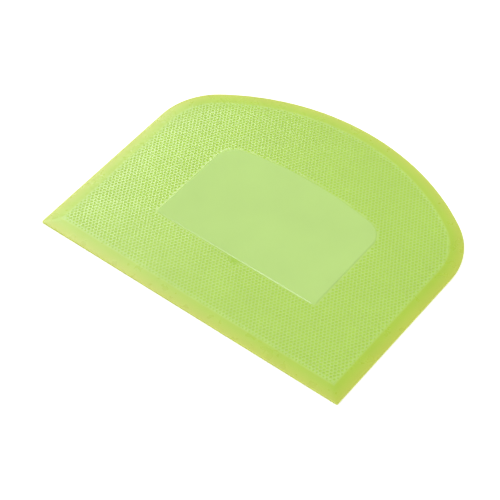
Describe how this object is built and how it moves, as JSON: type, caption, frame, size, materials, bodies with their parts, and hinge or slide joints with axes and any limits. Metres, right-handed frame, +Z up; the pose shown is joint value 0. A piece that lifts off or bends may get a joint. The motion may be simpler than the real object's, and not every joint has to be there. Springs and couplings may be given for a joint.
{
  "type": "bench scraper",
  "caption": "D-shaped soft bench and bowl scraper with a dimpled grip field, a smooth raised panel and a thin bevelled lip, moulded round a stiff core plate.",
  "frame": {"origin": "centre of the footprint, on the plane of the back, where the scraper rests on a worktop", "axes": "+X along the straight scraping edge, +Y from the scraping edge to the domed grip side, +Z up out of the dimpled face"},
  "size_m": [0.138, 0.113, 0.0022],
  "materials": {
    "lime_silicone": "satin, slightly translucent at the thin lip",
    "natural_nylon": "matte moulded",
    "lime_silicone_back": "matte"
  },
  "bodies": {
    "root": {"blade_jacket": "lime_silicone", "core_plate": "natural_nylon", "back_cover": "lime_silicone_back"}
  },
  "joints": []
}
